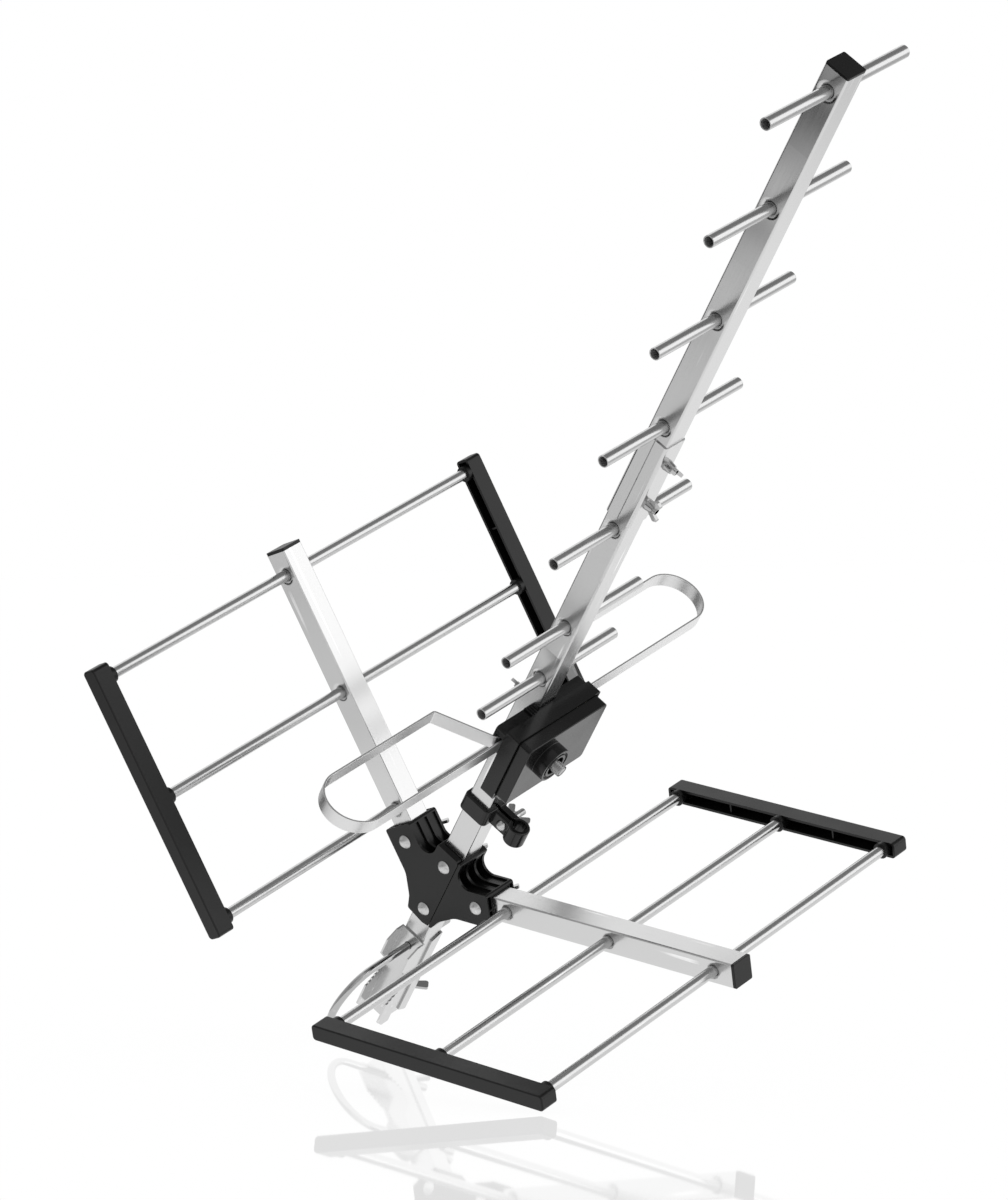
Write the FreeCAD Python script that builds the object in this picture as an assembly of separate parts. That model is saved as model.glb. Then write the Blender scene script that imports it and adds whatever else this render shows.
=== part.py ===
import FreeCAD, Part
import os
import math

os.makedirs("parts", exist_ok=True)

V = FreeCAD.Vector

# Frame: the mast axis is Z through the origin, X runs forward along the boom, Y along the elements.
# Shapes are drawn about the boom centreline and moved by boomOffset at export.

# Boom
boomSide = 20.0
boomWall = 1.2
boomCorner = 1.4
boomOffset = 42.0
boomTail = -48.0
splitGap = 1.0
noseReach = 17.0
noseCapThick = 2.0
capPlugLength = 8.0
capPlugWall = 1.6
plugClear = 0.3

# Director tubes
directorCount = 7
directorPitch = 104.0
directorLast = 345.0
directorLastGap = 56.0
directorLength = 152.0
directorDia = 9.0
tubeWall = 0.8

# Flared collar pressed inward round each tube hole
collarRadius = 8.4
collarDepth = 2.4
collarLip = 0.9

# Boom joint, between the fourth and the fifth director
jointClear = 3.6
jointShift = 1.0
jointSheet = 1.2
jointSeam = 0.6
jointBoltPitch = 40.0

# Fasteners
boltDia = 5.0
boltHeadDia = 11.0
boltHeadHeight = 3.2
boltTail = 3.0
wingHeight = 12.5
wingSpan = 22.5
wingThick = 2.4
wingHub = 4.4

# Folded dipole strip
dipoleX = 304.0
dipoleHalf = 207.0
dipoleHeight = 47.4
dipoleLow = -11.1
stripWidth = 12.0
stripThick = 1.5
dipoleBendRun = 23.0
slotReach = 1.5
slotZ = -6.5
terminalLap = 7.0
crossY = 27.0
crossZ = -15.0
shelfZ = -6.6

# Balun box
boxFront = 320.5
boxRear = 255.5
boxHalf = 47.5
boxTop = -12.0
boxSeam = -24.0
boxWall = 2.0
housingLength = 26.0
housingStep = 3.0
housingTop = -2.6
boomClear = 0.3
bodyCorner = 2.5
lidFace = -34.5
lidInset = 2.5
lidCorner = 3.5
boxBoltX = 314.0
boxBoltHeadDia = 7.0
gripRibCount = 3
gripRibPitch = 2.6
gripRibHeight = 1.6

# Connector
plugX = 294.0
plugY = -15.0
bossDia = 29.0
bossHeight = 9.5
ringOuterDia = 25.0
ringInnerDia = 21.0
wellDia = 16.0
ringDepth = 1.2
wellDepth = 3.6
threadDia = 9.5
neckDia = 8.6
barrelTip = -50.5
barrelBore = 7.0
pinHoleDia = 1.6
boardTop = -18.0
boardThick = 1.6
boardRear = 261.0
boardClear = 2.5
postInset = 7.5
postDia = 6.0
screwDia = 3.0

# Corner reflector
armAngle = 57.0
armApexX = 96.3
armStart = 20.0
armEnd = 285.0
armCapThick = 2.5
rodPitch = 98.0
rodFirst = 71.0
rodCount = 3
rodDia = 8.5
rodHalf = 215.0

# Corner bracket, two equal mouldings
bracketHalfWidth = 15.5
bracketSeam = 9.4
bracketRear = 69.0
bracketFront = 144.5
bracketEnd = 58.5
bracketPlate = 2.6
bracketBend = 9.5
rearWall = 14.5
rearBendAlong = 22.0
rearBend = 18.0
shoulderX = 80.0
shoulderZ = 15.6
shoulderBend = 12.0
heelZ = 12.4
innerWall = 13.2
boomBoltFront = 130.0
boomBoltRear = 80.0
armBoltAlong = 45.3
ribThick = 2.2
grooveWall = 1.3
grooveBend = 4.0
grooveRim = 2.5
grooveRise = 6.0
endPocketDepth = 7.0

# End bars
barTip = 3.5
barDepth = 15.5
barBossDepth = 19.5
barHalfWidth = 6.3
barOverhang = 10.5
barWall = 2.0
barRibThick = 1.4
barCorner = 3.0
barEdge = 1.2

# Clip on the boom
clipX = 196.5
clipWidth = 16.0
clipThick = 3.0
clipCorner = 4.5
clipEdge = 1.2
clipBoltZ = -22.5
clipBoltTail = 7.5
clipHeadDia = 9.0
earGap = 3.0
earThick = 3.6
earFarThick = 6.2
jawCentreZ = -34.0
jawOuter = 8.4
jawInner = 5.6

# Mast clamp
clampHalf = 48.0
clampMid = -3.0
clampSheet = 1.5
clampSide = 12.0
jawReach = 26.0
notchMouth = 20.0
notchFloor = 5.0
notchBottom = 14.0
toothCount = 5
toothDepth = 1.6
earChamfer = 8.0
channelSide = 11.5
channelReach = 1.0
legHalf = 32.0
legDia = 6.0
bowCentre = -53.0
legTail = 36.0
clampWingHeight = 18.0
clampWingSpan = 34.0

half = boomSide / 2
directorFirst = directorLast + directorLastGap + (directorCount - 2) * directorPitch
boomNose = directorFirst + noseReach
boomSplit = directorFirst - 3.5 * directorPitch - jointShift
jointLength = directorPitch - 2 * (collarRadius + jointClear)
barOuter = rodHalf + barTip
barInner = barOuter - barDepth
barBossInner = barOuter - barBossDepth
boardHalf = boxHalf - boxWall - boardClear
postY = boxHalf - postInset
terminalEndY = postY - terminalLap
slotY = boxHalf + slotReach
dipoleBendY = slotY + dipoleBendRun
wellFloor = lidFace - bossHeight + wellDepth
cosArm = math.cos(math.radians(armAngle))
sinArm = math.sin(math.radians(armAngle))


def block(x0, x1, y0, y1, z0, z1):
    return Part.makeBox(x1 - x0, y1 - y0, z1 - z0, V(x0, y0, z0))


def rod(radius, start, end):
    axis = end.sub(start)
    return Part.makeCylinder(radius, axis.Length, start, axis)


def prismXY(points, z0, z1):
    wire = Part.makePolygon([V(x, y, z0) for x, y in points + points[:1]])
    return Part.Face(wire).extrude(V(0, 0, z1 - z0))


def edgesAlong(shape, axis):
    picked = []
    for edge in shape.Edges:
        if edge.Curve.TypeId == "Part::GeomLine" and abs(edge.tangentAt(edge.FirstParameter).dot(axis)) > 0.999:
            picked.append(edge)
    return picked


def roundedBar(x0, x1, side, radius):
    bar = block(x0, x1, -side / 2, side / 2, -side / 2, side / 2)
    return bar.makeFillet(radius, edgesAlong(bar, V(1, 0, 0)))


def squareTube(x0, x1):
    outer = roundedBar(x0, x1, boomSide, boomCorner)
    inner = roundedBar(x0 - 1, x1 + 1, boomSide - 2 * boomWall, boomCorner / 2)
    return outer.cut(inner)


def quarterCurve(flat, corner, end):
    # A quarter of an ellipse: leaves flat towards corner and arrives at end from corner
    ease = 0.5523
    curve = Part.BezierCurve()
    curve.setPoles([flat, flat + (corner - flat) * ease, end + (corner - end) * ease, end])
    return curve.toShape()


def collar(x, side, holeRadius):
    # The wall flared inward to the tube like a bell mouth, drawn as a section revolved about Y
    def spot(radius, depth):
        return V(x + radius, side * (half - depth), 0)

    lipEnd = collarDepth + collarLip
    outerRim = spot(collarRadius, 0)
    innerRim = spot(collarRadius, boomWall)
    mouth = spot(holeRadius, collarDepth)
    lip = spot(holeRadius, lipEnd)
    back = spot(holeRadius + boomWall * 0.8, lipEnd)
    section = [
        quarterCurve(outerRim, spot(holeRadius, 0), mouth),
        Part.makeLine(mouth, lip),
        Part.makeLine(lip, back),
        quarterCurve(innerRim, spot(holeRadius + boomWall * 0.8, boomWall), back),
        Part.makeLine(innerRim, outerRim),
    ]
    face = Part.Face(Part.Wire(Part.sortEdges(section)[0]))
    return face.revolve(V(x, 0, 0), V(0, 1, 0), 360)


def pierce(tube, places, holeRadius):
    for x in places:
        tube = tube.cut(rod(collarRadius, V(x, -half - 1, 0), V(x, half + 1, 0)))
        for side in (-1, 1):
            tube = tube.fuse(collar(x, side, holeRadius))
    return tube.removeSplitter()


def roundTube(radius, wall, start, end):
    axis = end.sub(start)
    outer = Part.makeCylinder(radius, axis.Length, start, axis)
    return outer.cut(Part.makeCylinder(radius - wall, axis.Length, start, axis))


def toAlong(shape, base, axis, turn):
    # Local Z goes to axis, after a turn about it
    shape = shape.copy()
    shape.rotate(V(0, 0, 0), V(0, 0, 1), turn)
    spin = FreeCAD.Rotation(V(0, 0, 1), axis)
    shape.Placement = FreeCAD.Placement(base, spin).multiply(shape.Placement)
    return shape


def domeBolt(diameter, headDia, headHeight, length):
    # Head below the local origin, shank up along Z
    ball = (headDia * headDia / 4 + headHeight * headHeight) / (2 * headHeight)
    head = Part.makeSphere(ball, V(0, 0, ball - headHeight))
    head = head.common(Part.makeCylinder(headDia, headHeight, V(0, 0, -headHeight)))
    return head.fuse(Part.makeCylinder(diameter / 2, length)).removeSplitter()


def filletPath(points, radii):
    # Straight runs through the points, with a tangent arc at each inner one whose radius isn't 0
    edges = []
    last = points[0]
    for i in range(1, len(points) - 1):
        corner = points[i]
        radius = radii[i - 1]
        if radius == 0:
            edges.append(Part.makeLine(last, corner))
            last = corner
            continue
        before = points[i - 1].sub(corner).normalize()
        after = points[i + 1].sub(corner).normalize()
        angle = before.getAngle(after)
        cut = radius / math.tan(angle / 2)
        a = corner.add(V(before).multiply(cut))
        b = corner.add(V(after).multiply(cut))
        bisector = before.add(after).normalize()
        centre = corner.add(V(bisector).multiply(radius / math.sin(angle / 2)))
        mid = centre.sub(V(bisector).multiply(radius))
        edges.append(Part.makeLine(last, a))
        edges.append(Part.Arc(a, mid, b).toShape())
        last = b
    edges.append(Part.makeLine(last, points[-1]))
    return edges


def roundedPrism(corners, y0, y1):
    # Each corner is X, Z and its radius, and the outline starts halfway along its last side
    spots = [V(x, y0, z) for x, z, radius in corners]
    start = (spots[-1] + spots[0]) * 0.5
    wire = Part.Wire(filletPath([start] + spots + [start], [radius for x, z, radius in corners]))
    return Part.Face(wire).extrude(V(0, y1 - y0, 0))


def wingNut(bore, height, span, hub):
    reach = span / 2
    tip = height * 0.11
    body = Part.makeCone(hub, hub * 0.8, height * 0.48)
    wing = [
        (hub * 0.45, height * 0.1, 0),
        (hub * 0.95, height * 0.1, 0),
        (reach, height * 0.64, tip),
        (reach * 0.7, height, tip),
        (hub * 0.75, height * 0.5, tip),
        (hub * 0.45, height * 0.42, 0),
    ]
    for sign in (-1, 1):
        corners = [(sign * x, z, radius) for x, z, radius in wing]
        body = body.fuse(roundedPrism(corners, -wingThick / 2, wingThick / 2))
    return body.cut(Part.makeCylinder(bore / 2, height * 3, V(0, 0, -height))).removeSplitter()


def armPoint(along, out):
    return (armApexX + along * cosArm + out * sinArm, along * sinArm - out * cosArm)


def armMeets(level, out):
    # Where a line beside the arm crosses the height level, as X and Z
    return armPoint((level + out * cosArm) / sinArm, out)


def armVector(along, out, y):
    x, z = armPoint(along, out)
    return V(x, y, z)


def turnToArm(shape):
    # From boom direction at the origin to the upper arm
    shape = shape.copy()
    shape.rotate(V(0, 0, 0), V(0, 1, 0), -armAngle)
    shape.translate(V(armApexX, 0, 0))
    return shape


def lowerCopy(shape):
    shape = shape.copy()
    shape.rotate(V(0, 0, 0), V(1, 0, 0), 180)
    return shape


def directorPlaces():
    return [directorFirst - i * directorPitch for i in range(directorCount - 1)] + [directorLast]


def rodPlaces():
    return [rodFirst + i * rodPitch for i in range(rodCount)]


def boomFront():
    tube = squareTube(boomSplit + splitGap / 2, boomNose)
    tube = pierce(tube, [x for x in directorPlaces() if x > boomSplit], directorDia / 2)
    boltX = boomSplit + jointBoltPitch / 2
    return tube.cut(rod(boltDia / 2, V(boltX, 0, -boomSide), V(boltX, 0, boomSide)))


def boomRear():
    tube = squareTube(boomTail, boomSplit - splitGap / 2)
    tube = pierce(tube, [x for x in directorPlaces() if x < boomSplit], directorDia / 2)
    for x in (boomSplit - jointBoltPitch / 2, boxBoltX):
        tube = tube.cut(rod(boltDia / 2, V(x, 0, -boomSide), V(x, 0, boomSide)))
    for x in (boomBoltFront, boomBoltRear):
        tube = tube.cut(rod(boltDia / 2, V(x, -boomSide, 0), V(x, boomSide, 0)))
    for x in (-legHalf, legHalf):
        tube = tube.cut(rod(legDia / 2, V(x, -boomSide, 0), V(x, boomSide, 0)))
    return tube


def plugCap(at, thick):
    plate = roundedBar(at, at + thick, boomSide, boomCorner)
    plugSide = boomSide - 2 * boomWall - 2 * plugClear
    plug = block(at - capPlugLength, at, -plugSide / 2, plugSide / 2, -plugSide / 2, plugSide / 2)
    core = plugSide / 2 - capPlugWall
    plug = plug.cut(block(at - capPlugLength, at, -core, core, -core, core))
    return plate.fuse(plug).removeSplitter()


def director(x):
    return roundTube(directorDia / 2, tubeWall, V(x, -directorLength / 2, 0), V(x, directorLength / 2, 0))


def jointChannel(side):
    x0 = boomSplit - jointLength / 2
    x1 = boomSplit + jointLength / 2
    skin = half + jointSheet
    outer = roundedBar(x0, x1, 2 * skin, boomCorner + jointSheet)
    shell = outer.cut(roundedBar(x0 - 1, x1 + 1, boomSide, boomCorner))
    keep = block(x0 - 1, x1 + 1, -2 * skin, 2 * skin, jointSeam / 2, 2 * skin)
    if side < 0:
        keep = block(x0 - 1, x1 + 1, -2 * skin, 2 * skin, -2 * skin, -jointSeam / 2)
    shell = shell.common(keep)
    for shift in (-jointBoltPitch / 2, jointBoltPitch / 2):
        x = boomSplit + shift
        shell = shell.cut(rod(boltDia / 2, V(x, 0, -2 * skin), V(x, 0, 2 * skin)))
    return shell


def jointBolts():
    seat = half + jointSheet
    bolt = domeBolt(boltDia, boltHeadDia, boltHeadHeight, 2 * seat + wingHeight * 0.48 + boltTail)
    bolts = [toAlong(bolt, V(boomSplit + s * jointBoltPitch / 2, 0, seat), V(0, 0, -1), 0) for s in (-1, 1)]
    return Part.makeCompound(bolts)


def jointWingNuts():
    seat = half + jointSheet
    nut = wingNut(boltDia, wingHeight, wingSpan, wingHub)
    nuts = [toAlong(nut, V(boomSplit + s * jointBoltPitch / 2, 0, -seat), V(0, 0, -1), 35 + 20 * s) for s in (-1, 1)]
    return Part.makeCompound(nuts)


def dipole():
    low = dipoleLow
    high = dipoleLow + dipoleHeight
    radius = dipoleHeight / 2
    turnY = dipoleHalf - radius
    left = [
        V(dipoleX, -turnY, high),
        V(dipoleX, -dipoleBendY, high),
        V(dipoleX, -slotY, slotZ),
        V(dipoleX, -crossY, shelfZ),
        V(dipoleX, -crossY + 2, crossZ),
    ]
    right = [V(p.x, -p.y, p.z) for p in reversed(left)]
    edges = [Part.makeLine(V(dipoleX, -terminalEndY, low), V(dipoleX, -turnY, low))]
    edges.append(Part.Arc(V(dipoleX, -turnY, low), V(dipoleX, -dipoleHalf, low + radius), left[0]).toShape())
    edges += filletPath(left + right, [3.0, 3.0, 2.5, 2.5, 2.5, 2.5, 3.0, 3.0])
    edges.append(Part.Arc(right[-1], V(dipoleX, dipoleHalf, low + radius), V(dipoleX, turnY, low)).toShape())
    edges.append(Part.makeLine(V(dipoleX, turnY, low), V(dipoleX, terminalEndY, low)))
    path = Part.Wire(edges)
    w = stripWidth / 2
    t = stripThick / 2
    y = -terminalEndY
    section = Part.makePolygon([
        V(dipoleX - w, y, low - t), V(dipoleX + w, y, low - t),
        V(dipoleX + w, y, low + t), V(dipoleX - w, y, low + t), V(dipoleX - w, y, low - t)])
    strip = path.makePipeShell([section], True, False, 1)
    for sign in (-1, 1):
        strip = strip.cut(rod(screwDia / 2, V(dipoleX, sign * postY, low - 3), V(dipoleX, sign * postY, low + 3)))
    return strip


def balunBody():
    seat = half + boomClear
    housingRear = boxFront - housingLength
    housingFront = boxFront - housingStep
    body = block(boxRear, boxFront, -boxHalf, boxHalf, boxSeam, boxTop)
    body = body.makeFillet(bodyCorner, edgesAlong(body, V(0, 0, 1)))
    housing = block(housingRear, housingFront, -boxHalf, boxHalf, boxTop - bodyCorner, housingTop)
    housing = housing.makeFillet(bodyCorner, edgesAlong(housing, V(0, 0, 1)))
    body = body.fuse(housing)
    body = body.cut(block(boxRear - 1, boxFront + 1, -seat, seat, -half, half))
    inner = boxHalf - boxWall
    frontInner = boxFront - boxWall - 0.5
    body = body.cut(block(boxRear + boxWall, frontInner, -inner, inner, boxSeam - 1, boxTop - boxWall))
    for sign in (-1, 1):
        y0, y1 = sorted((sign * (seat + boxWall), sign * (inner - 1.5)))
        body = body.cut(block(housingRear + boxWall, housingFront - boxWall, y0, y1, boxTop - 4, housingTop - boxWall))
        y0, y1 = sorted((sign * (inner - 3), sign * (boxHalf + 1)))
        x0 = dipoleX - stripWidth / 2 - 0.5
        x1 = dipoleX + stripWidth / 2 + 0.5
        body = body.cut(block(x0, x1, y0, y1, dipoleLow - stripThick / 2, slotZ + stripThick / 2 + 1.2))
    body = body.cut(rod(boltDia / 2, V(boxBoltX, 0, boxSeam - 1), V(boxBoltX, 0, 0)))
    for i in range(gripRibCount):
        y = -seat - 1.0 - i * gripRibPitch
        rib = rod(gripRibHeight, V(housingFront, y, boxTop - 0.5), V(housingFront, y, housingTop))
        keep = block(housingFront - 1, housingFront + 2, y - 0.8, y + 0.8, boxTop - 1, housingTop)
        body = body.fuse(rib.common(keep))
    return body.removeSplitter()


def balunLid():
    x0 = boxRear + lidInset
    x1 = boxFront - lidInset
    y1 = boxHalf - lidInset
    tray = block(x0, x1, -y1, y1, lidFace, boxSeam)
    tray = tray.makeFillet(lidCorner, edgesAlong(tray, V(0, 0, 1)))
    rim = [edge for edge in tray.Edges if abs(edge.BoundBox.ZMin - lidFace) < 1e-6 and abs(edge.BoundBox.ZMax - lidFace) < 1e-6]
    tray = tray.makeFillet(0.8, rim)
    hollow = block(x0 + boxWall, x1 - boxWall, -y1 + boxWall, y1 - boxWall, lidFace + boxWall, boxSeam + 1)
    tray = tray.cut(hollow.makeFillet(lidCorner - boxWall, edgesAlong(hollow, V(0, 0, 1))))
    centre = V(plugX, plugY, lidFace + 0.5)
    bossTip = V(plugX, plugY, lidFace - bossHeight)
    tray = tray.fuse(rod(bossDia / 2, centre, bossTip))
    groove = roundTube(ringOuterDia / 2, (ringOuterDia - ringInnerDia) / 2, bossTip, V(plugX, plugY, bossTip.z + ringDepth))
    tray = tray.cut(groove)
    tray = tray.cut(rod(wellDia / 2, bossTip, V(plugX, plugY, wellFloor)))
    return tray.cut(rod(neckDia / 2, V(plugX, plugY, boxSeam), bossTip)).removeSplitter()


def connector():
    base = lidFace + boxWall
    barrel = rod(threadDia / 2, V(plugX, plugY, barrelTip), V(plugX, plugY, wellFloor))
    neck = rod(neckDia / 2, V(plugX, plugY, wellFloor), V(plugX, plugY, base + 6))
    flange = prismXY([(plugX + 8 * math.cos(math.radians(a)), plugY + 8 * math.sin(math.radians(a)))
                      for a in range(0, 360, 60)], base, base + 2.5)
    shell = barrel.fuse(neck).fuse(flange)
    shell = shell.cut(rod(barrelBore / 2, V(plugX, plugY, barrelTip), V(plugX, plugY, barrelTip + 7)))
    shell = shell.cut(rod(pinHoleDia / 2, V(plugX, plugY, barrelTip), V(plugX, plugY, barrelTip + 14)))
    pin = rod(0.7, V(plugX, plugY, base + 5), V(plugX, plugY, boardTop - boardThick))
    return shell.fuse(pin).removeSplitter()


def circuitBoard():
    z0 = boardTop - boardThick
    front = dipoleX + stripWidth / 2
    board = block(boardRear, front, -boardHalf, boardHalf, z0, boardTop)
    for sign in (-1, 1):
        board = board.cut(rod(screwDia / 2, V(dipoleX, sign * postY, z0 - 1), V(dipoleX, sign * postY, boardTop + 1)))
    return board


def balunCore():
    z0 = boardTop
    z1 = boxTop - boxWall - 0.6
    x0 = boardRear + 8
    core = block(x0, x0 + 14, -7, 7, z0, z1)
    for y in (-3, 3):
        core = core.cut(rod(0.9, V(x0 - 1, y, (z0 + z1) / 2), V(x0 + 15, y, (z0 + z1) / 2)))
    return core


def contactPosts():
    posts = []
    for sign in (-1, 1):
        y = sign * postY
        top = dipoleLow + stripThick / 2
        under = dipoleLow - stripThick / 2
        post = rod(postDia / 2, V(dipoleX, y, boardTop), V(dipoleX, y, under))
        post = post.fuse(rod(screwDia / 2, V(dipoleX, y, boardTop - boardThick - 1.2), V(dipoleX, y, top)))
        post = post.fuse(rod(postDia / 2, V(dipoleX, y, top), V(dipoleX, y, top + 1.8)))
        posts.append(post.removeSplitter())
    return Part.makeCompound(posts)


def boxBolt():
    seat = boxTop - boxWall
    bolt = domeBolt(boltDia, boxBoltHeadDia, 3.0, half - seat + wingHeight * 0.48 + boltTail)
    return toAlong(bolt, V(boxBoltX, 0, seat), V(0, 0, 1), 0)


def boxWingNut():
    nut = wingNut(boltDia, wingHeight, wingSpan, wingHub)
    return toAlong(nut, V(boxBoltX, 0, half), V(0, 0, 1), -40)


def bracketHalf():
    w = bracketHalfWidth
    seat = half + boomClear
    plateTop = half + bracketPlate
    grooveTop = seat + grooveWall
    upper = [
        (*armPoint(bracketEnd, -rearWall), 2.0),
        (*armPoint(rearBendAlong, -rearWall), rearBend),
        (shoulderX, shoulderZ, shoulderBend),
        (bracketRear, heelZ, 2.0),
        (bracketRear, half, 0),
        (bracketFront, half, 0),
        (bracketFront, plateTop, 1.2),
        (*armMeets(plateTop, innerWall), bracketBend),
        (*armPoint(bracketEnd, innerWall), 2.0),
    ]
    body = roundedPrism(upper, -w, w)
    cheek = [
        (bracketRear, seat + 1, 0),
        (bracketRear - 1.5, -bracketSeam + 6, 4.0),
        (bracketRear, -bracketSeam, 1.0),
        (bracketFront, -bracketSeam, 3.0),
        (bracketFront, seat + 1, 0),
    ]
    body = body.fuse(roundedPrism(cheek, -w, -seat))
    slot = block(armStart, bracketEnd + 10, -seat, seat, -seat, seat)
    body = body.cut(turnToArm(slot))
    groove = [
        (bracketFront - grooveRim, grooveTop + grooveRise, 0),
        (bracketFront - grooveRim, grooveTop, 0),
        (*armMeets(grooveTop, grooveTop), grooveBend),
        (*armPoint(bracketEnd - grooveRim, grooveTop), 0),
        (*armPoint(bracketEnd - grooveRim, grooveTop + grooveRise), 0),
    ]
    step = (2 * w - ribThick) / 3
    for i in range(3):
        y0 = -w + ribThick + i * step
        body = body.cut(roundedPrism(groove, y0, y0 + step - ribThick))
    for sign in (-1, 1):
        y0, y1 = sorted((sign * (seat + 1.0), sign * (w - 1.2)))
        for out0, out1 in ((-rearWall + 2.5, -0.7), (0.7, innerWall - 2.0)):
            body = body.cut(turnToArm(block(bracketEnd - endPocketDepth, bracketEnd + 1, y0, y1, -out1, -out0)))
    for x, z in ((boomBoltFront, 0), (boomBoltRear, 0), armPoint(armBoltAlong, 0)):
        body = body.cut(rod(boltDia / 2, V(x, -w - 1, z), V(x, w + 1, z)))
    return body.removeSplitter()


def bracketBoltPlaces():
    x, z = armPoint(armBoltAlong, 0)
    return [(boomBoltFront, 0.0), (boomBoltRear, 0.0), (x, z), (x, -z)]


def bracketBolts():
    length = 2 * bracketHalfWidth + wingHeight * 0.48 + boltTail
    bolt = domeBolt(boltDia, boltHeadDia, boltHeadHeight, length)
    return Part.makeCompound([toAlong(bolt, V(x, -bracketHalfWidth, z), V(0, 1, 0), 0) for x, z in bracketBoltPlaces()])


def bracketWingNuts():
    nut = wingNut(boltDia, wingHeight, wingSpan, wingHub)
    return Part.makeCompound([toAlong(nut, V(x, bracketHalfWidth, z), V(0, 1, 0), 45) for x, z in bracketBoltPlaces()])


def reflectorArm():
    tube = pierce(squareTube(armStart, armEnd), rodPlaces(), rodDia / 2)
    tube = tube.cut(rod(boltDia / 2, V(armBoltAlong, -boomSide, 0), V(armBoltAlong, boomSide, 0)))
    return turnToArm(tube)


def reflectorRod(along):
    return roundTube(rodDia / 2, tubeWall, armVector(along, 0, -rodHalf), armVector(along, 0, rodHalf))


def endBar():
    # On the +Y ends of the upper rods, drawn with the arm along X
    x0 = rodFirst - barOverhang
    x1 = rodPlaces()[-1] + barOverhang
    bar = block(x0, x1, barInner, barOuter, -barHalfWidth, barHalfWidth)
    bar = bar.makeFillet(barCorner, edgesAlong(bar, V(0, 1, 0)))
    rim = [edge for edge in bar.Edges if edge.BoundBox.YMin > barOuter - 1e-6]
    bar = bar.makeFillet(barEdge, rim)
    inner = barHalfWidth - barWall
    bar = bar.cut(block(x0 + barWall, x1 - barWall, barInner - 1, barOuter - barWall, -inner, inner))
    for x in rodPlaces():
        bar = bar.fuse(rod(barHalfWidth, V(x, barBossInner, 0), V(x, barOuter - barWall / 2, 0)))
    for i in range(rodCount - 1):
        x = rodPlaces()[i] + rodPitch / 2
        bar = bar.fuse(block(x - barRibThick / 2, x + barRibThick / 2, barInner + 2, barOuter - barWall / 2, -inner - 0.5, inner + 0.5))
    for x in rodPlaces():
        bar = bar.cut(rod(rodDia / 2, V(x, barBossInner - 1, 0), V(x, rodHalf, 0)))
    return turnToArm(bar.removeSplitter())


def mirrorY(shape):
    return shape.mirror(V(0, 0, 0), V(0, 1, 0))


def softEnds(shape, x0, x1, radius):
    # Rounds the outer edges of the two faces square to the boom
    picked = []
    for edge in shape.Edges:
        box = edge.BoundBox
        if box.XLength < 1e-6 and min(abs(box.XMin - x0), abs(box.XMin - x1)) < 1e-6:
            picked.append(edge)
    return shape.makeFillet(radius, picked)


def boomClip():
    x0 = clipX - clipWidth / 2
    x1 = clipX + clipWidth / 2
    outer = half + clipThick
    near = earGap / 2 + earThick
    far = earGap / 2 + earFarThick
    strap = softEnds(roundedBar(x0, x1, 2 * outer, clipCorner), x0, x1, clipEdge)
    ears = block(x0 + 1, x1 - 1, -near, far, jawCentreZ, -half)
    ears = softEnds(ears.makeFillet(clipEdge, edgesAlong(ears, V(1, 0, 0))), x0 + 1, x1 - 1, clipEdge)
    ring = softEnds(rod(jawOuter, V(x0, 0, jawCentreZ), V(x1, 0, jawCentreZ)), x0, x1, clipEdge)
    clip = strap.fuse(ears).fuse(ring)
    clip = clip.cut(block(x0, x1, -half, half, -half, half))
    clip = clip.cut(rod(jawInner, V(x0, 0, jawCentreZ), V(x1, 0, jawCentreZ)))
    clip = clip.cut(block(x0, x1, -earGap / 2, earGap / 2, jawCentreZ, 0))
    return clip.cut(rod(boltDia / 2, V(clipX, -boomSide, clipBoltZ), V(clipX, boomSide, clipBoltZ))).removeSplitter()


def clipBolt():
    seat = earGap / 2 + earThick
    grip = earThick + earGap + earFarThick
    bolt = domeBolt(boltDia, clipHeadDia, boltHeadHeight, grip + wingHeight * 0.48 + clipBoltTail)
    return toAlong(bolt, V(clipX, -seat, clipBoltZ), V(0, 1, 0), 0)


def clipWingNut():
    nut = wingNut(boltDia, wingHeight, wingSpan, wingHub)
    return toAlong(nut, V(clipX, earGap / 2 + earFarThick, clipBoltZ), V(0, 1, 0), 90)


def notchEdge():
    # Toothed side of the mast notch, from its mouth to its floor, as XY points on the +X side
    points = []
    dx = (notchFloor - notchMouth) / toothCount
    dy = (notchBottom - jawReach) / toothCount
    length = math.hypot(dx, dy)
    nx, ny = -dy / length, dx / length
    for i in range(toothCount):
        points.append((notchMouth + i * dx, -(jawReach + i * dy)))
        cx = notchMouth + (i + 0.25) * dx
        cy = jawReach + (i + 0.25) * dy
        points.append((cx + abs(nx) * toothDepth, -(cy - abs(ny) * toothDepth)))
    points.append((notchFloor, -notchBottom))
    return points


def clampJaw():
    back = -half
    front = back - clampSheet
    x0 = clampMid - clampHalf
    x1 = clampMid + clampHalf
    jaw = block(x0, x1, front, back, -clampSide, clampSide)
    side = notchEdge()
    outline = [(x1, back), (x1, -jawReach + earChamfer), (x1 - earChamfer, -jawReach)]
    outline += side + [(-x, y) for x, y in reversed(side)]
    outline += [(x0 + earChamfer, -jawReach), (x0, -jawReach + earChamfer), (x0, back)]
    for sign in (-1, 1):
        z0, z1 = sorted((sign * (clampSide - clampSheet), sign * clampSide))
        jaw = jaw.fuse(prismXY(outline, z0, z1))
    for x in (-legHalf, legHalf):
        jaw = jaw.cut(rod(legDia / 2 + 0.4, V(x, -boomSide, 0), V(x, 0, 0)))
    return jaw.removeSplitter()


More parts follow.
